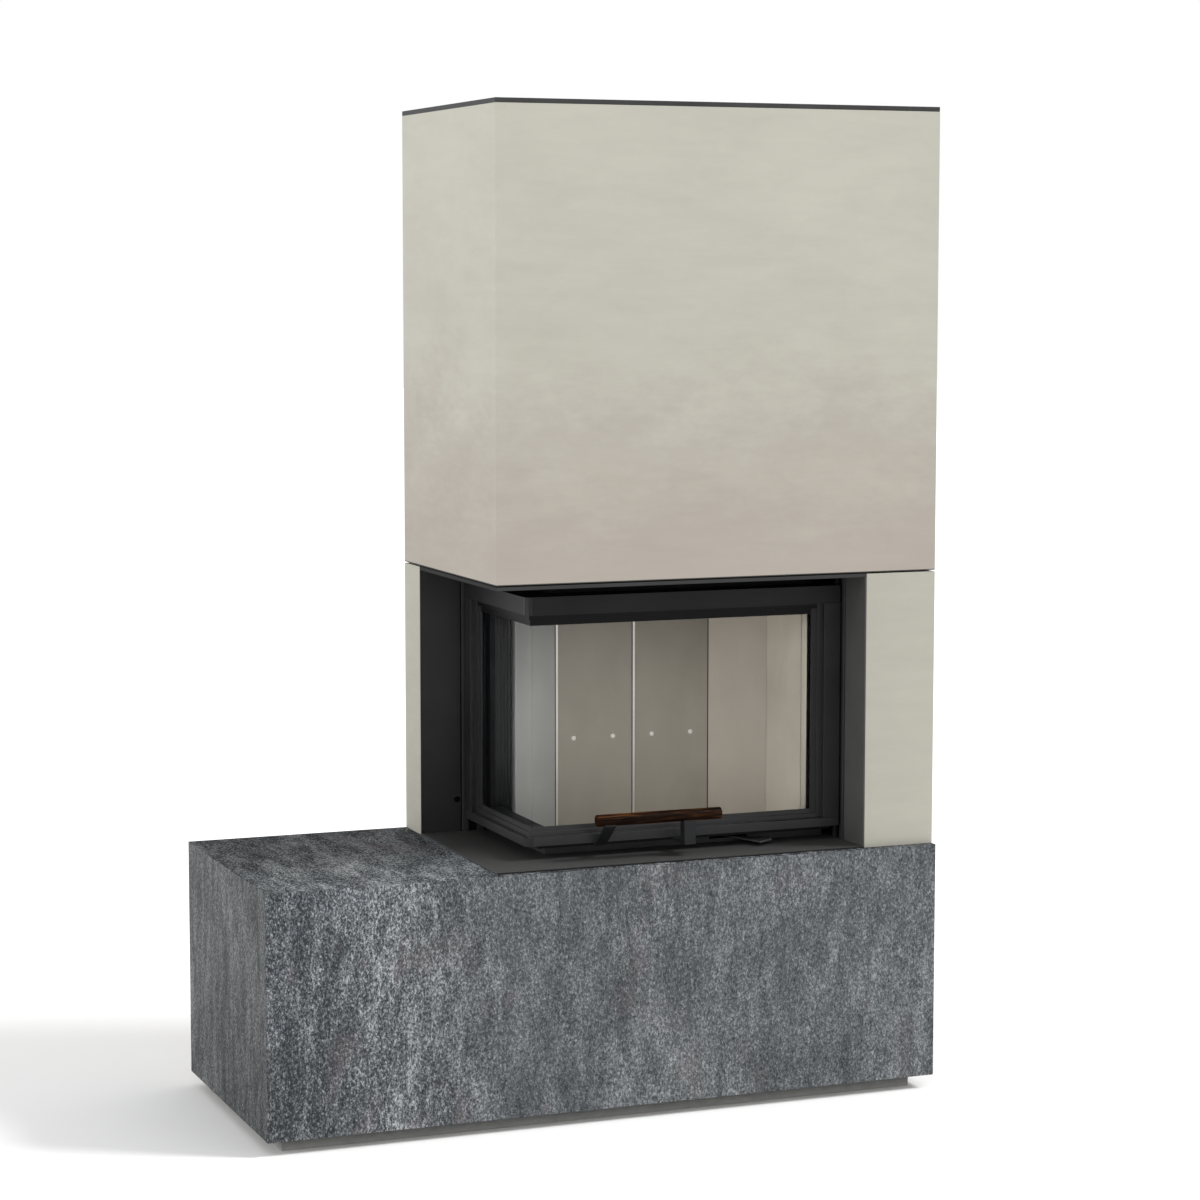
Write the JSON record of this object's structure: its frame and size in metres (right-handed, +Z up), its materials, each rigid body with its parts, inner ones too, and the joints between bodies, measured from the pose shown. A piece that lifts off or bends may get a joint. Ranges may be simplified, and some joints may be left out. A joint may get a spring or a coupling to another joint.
{
  "type": "corner fireplace",
  "caption": "Corner fireplace with a stone-clad bench base, a plastered hood on piers and a glazed corner door that lifts on counterweights.",
  "frame": {"origin": "on the floor under the middle of the base's footprint", "axes": "+X to the right along the front, +Y back towards the wall, +Z up; the front faces -Y"},
  "size_m": [1.5, 0.622, 2.122],
  "materials": {
    "plinth_board": "matte",
    "board": "matte",
    "stone_finish": "satin",
    "aerated_block": "matte",
    "duct_steel": "satin",
    "dark_sheet": "satin",
    "plaster": "matte",
    "cap_metal": "satin",
    "frame_angle": "matte",
    "insert_steel": "matte",
    "cable_steel": "stranded",
    "fire_brick": "matte",
    "cast_iron": "matte",
    "pot_steel": "satin",
    "lining_left": "matte",
    "lining_rear": "matte",
    "lining_right": "matte",
    "bright_steel": "bright",
    "gear_steel": "zinc plated",
    "door_metal": "satin",
    "glass": "clear",
    "handle_metal": "satin",
    "walnut": "oiled",
    "lever_steel": "brushed"
  },
  "bodies": {
    "surround": {"plinth_board": "plinth_board", "base_floor": "board", "base_front_panel": "stone_finish", "base_left_panel": "stone_finish", "base_right_panel": "stone_finish", "base_back_board": "board", "bench_top": "stone_finish", "support_walls": "aerated_block", "air_duct": "duct_steel", "floor_plate": "dark_sheet", "rear_pier": "plaster", "right_pier_front": "plaster", "right_pier_side": "plaster", "jamb_sheets": "dark_sheet", "niche_ceiling": "dark_sheet", "hood_front_panel": "plaster", "hood_left_panel": "plaster", "hood_right_panel": "plaster", "back_board": "board", "cap_plate": "cap_metal", "hood_frame": "frame_angle", "air_box": "dark_sheet", "insert_legs": "frame_angle", "flange_plate": "insert_steel", "sill_frame": "insert_steel", "cable_bends": "cable_steel", "fixed_frame": "insert_steel", "firebox_shell": "insert_steel", "floor_bricks": "fire_brick", "grate": "cast_iron", "ash_pot": "pot_steel", "left_lining": "lining_left", "rear_linings": "lining_rear", "corner_lining": "lining_right", "right_lining": "lining_right", "lining_strips": "bright_steel", "air_nozzles": "bright_steel", "baffle_board": "fire_brick", "smoke_dome": "insert_steel", "flue_pipe": "insert_steel", "door_guides": "gear_steel", "pulley_brackets": "gear_steel"},
    "door": {"door_top_rail": "door_metal", "door_bottom_rail": "door_metal", "door_right_stile": "door_metal", "door_rear_stile": "door_metal", "corner_caps": "door_metal", "front_glass": "glass", "side_glass": "glass", "glass_retainers": "door_metal", "carriages": "gear_steel", "handle_stays": "handle_metal", "handle_bar": "walnut", "door_cables": "cable_steel"},
    "right_weight": {"right_counterweight": "cast_iron", "weight_cables": "cable_steel"},
    "rear_weight": {"rear_counterweight": "cast_iron"},
    "right_wheel": {"right_pulley": "gear_steel"},
    "rear_wheel": {"rear_pulley": "gear_steel"},
    "air_control": {"air_lever": "lever_steel"}
  },
  "joints": [
    {"name": "door_lift", "type": "slide", "parent": "surround", "child": "door", "axis": [0, 0, 1], "range_m": [0, 0.46], "deforming": ["door_cables"]},
    {"name": "right_weight_drop", "type": "slide", "parent": "surround", "child": "right_weight", "axis": [0, 0, 1], "range_m": [-0.46, 0], "deforming": ["weight_cables"]},
    {"name": "rear_weight_drop", "type": "slide", "parent": "surround", "child": "rear_weight", "axis": [0, 0, 1], "range_m": [-0.46, 0]},
    {"name": "right_pulley_turn", "type": "hinge", "parent": "surround", "child": "right_wheel", "pos_m": [0.633, -0.173, 1.9], "axis": [0, 1, 0], "range_deg": [0, 754]},
    {"name": "rear_pulley_turn", "type": "hinge", "parent": "surround", "child": "rear_wheel", "pos_m": [-0.097, 0.219, 1.9], "axis": [0, 1, 0], "range_deg": [0, 754]},
    {"name": "air_swing", "type": "hinge", "parent": "surround", "child": "air_control", "pos_m": [0.34, -0.091, 0.553], "axis": [0, 0, 1], "range_deg": [-42, 0]}
  ],
  "couplings": [
    {"joint": "right_weight_drop", "follows": "door_lift", "ratio": -1},
    {"joint": "rear_weight_drop", "follows": "door_lift", "ratio": -1},
    {"joint": "right_pulley_turn", "follows": "door_lift", "rad_per_m": 28.571},
    {"joint": "rear_pulley_turn", "follows": "door_lift", "rad_per_m": 28.571}
  ]
}
